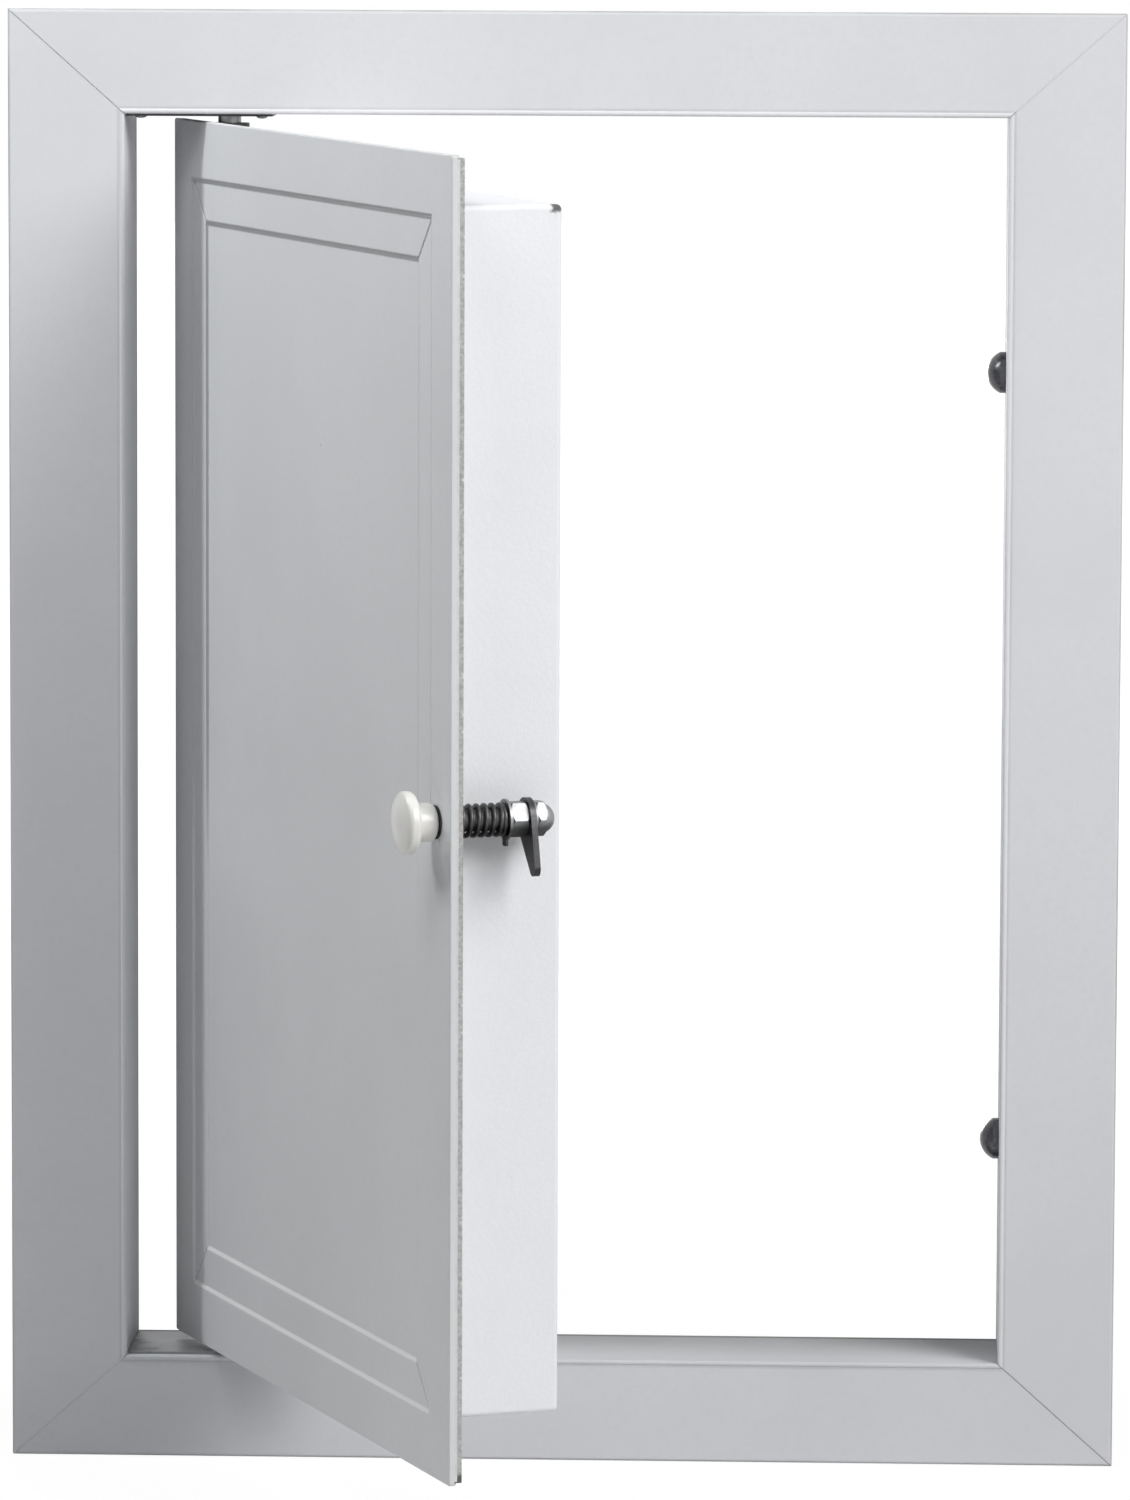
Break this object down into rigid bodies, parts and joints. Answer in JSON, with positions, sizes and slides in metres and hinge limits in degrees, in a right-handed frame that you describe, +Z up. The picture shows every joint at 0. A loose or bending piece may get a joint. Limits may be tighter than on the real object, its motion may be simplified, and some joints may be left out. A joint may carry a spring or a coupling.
{
  "type": "loft hatch",
  "caption": "Upright loft hatch: mitred flanged lining, pivoting insulated leaf with a stepped sunk panel, and a sprung turn latch with a knob and lever.",
  "frame": {"origin": "middle of the sill flange's back face, which bears on the wall", "axes": "+X from the hinge jamb to the latch jamb, +Y from the room into the loft, +Z up"},
  "size_m": [0.67, 0.5036, 0.8799],
  "materials": {
    "frame_paint": "satin light grey paint on folded sheet",
    "cleat_zinc": "zinc-plated sheet",
    "pivot_steel": "dull plated strip",
    "pin_steel": "bright turned steel",
    "nylon_white": "white nylon",
    "stud_dark": "black domed head",
    "leaf_paint": "satin white paint on pressed sheet",
    "board_grey": "grey fibre board",
    "foam_white": "smooth white rigid foam",
    "knob_white": "off-white moulded plastic",
    "spring_steel": "oiled spring wire",
    "zinc_bright": "bright zinc plate",
    "lever_dark": "blackened flat bar"
  },
  "bodies": {
    "lining": {"frame_head": "frame_paint", "frame_sill": "frame_paint", "frame_jamb_hinge": "frame_paint", "frame_jamb_latch": "frame_paint", "corner_cleat_top_hinge": "cleat_zinc", "corner_cleat_top_latch": "cleat_zinc", "corner_cleat_bottom_hinge": "cleat_zinc", "corner_cleat_bottom_latch": "cleat_zinc", "pivot_plate_top": "pivot_steel", "pivot_plate_bottom": "pivot_steel", "pivot_pin_top": "pin_steel", "pivot_pin_bottom": "pin_steel", "thrust_washer": "nylon_white", "jamb_stud_upper": "stud_dark", "jamb_stud_lower": "stud_dark"},
    "leaf": {"leaf_skin": "leaf_paint", "leaf_board": "board_grey", "insulation_block": "foam_white", "pivot_arm_top": "pivot_steel", "pivot_arm_bottom": "pivot_steel", "latch_bush": "nylon_white", "latch_spring": "spring_steel"},
    "latch_slide": {"spring_washer": "zinc_bright"},
    "latch_spindle": {"latch_knob": "knob_white", "knob_washer": "lever_dark", "latch_rod": "zinc_bright", "latch_nut": "zinc_bright", "latch_lever": "lever_dark", "lever_washer": "zinc_bright", "cap_nut": "zinc_bright"}
  },
  "joints": [
    {"name": "leaf_swing", "type": "hinge", "parent": "lining", "child": "leaf", "pos_m": [-0.203, 0.015, 0.40875], "axis": [0, 0, -1], "range_deg": [-68, 32]},
    {"name": "latch_pull", "type": "slide", "parent": "leaf", "child": "latch_slide", "axis": [-0.9272, -0.3746, 0], "range_m": [0, 0.005], "stiffness_N_per_m": 4000, "springref_m": -0.004, "deforming": ["latch_spring"]},
    {"name": "latch_turn", "type": "hinge", "parent": "latch_slide", "child": "latch_spindle", "pos_m": [-0.05524, -0.39878, 0.40875], "axis": [-0.9272, -0.3746, 0], "range_deg": [-28, 62]}
  ]
}
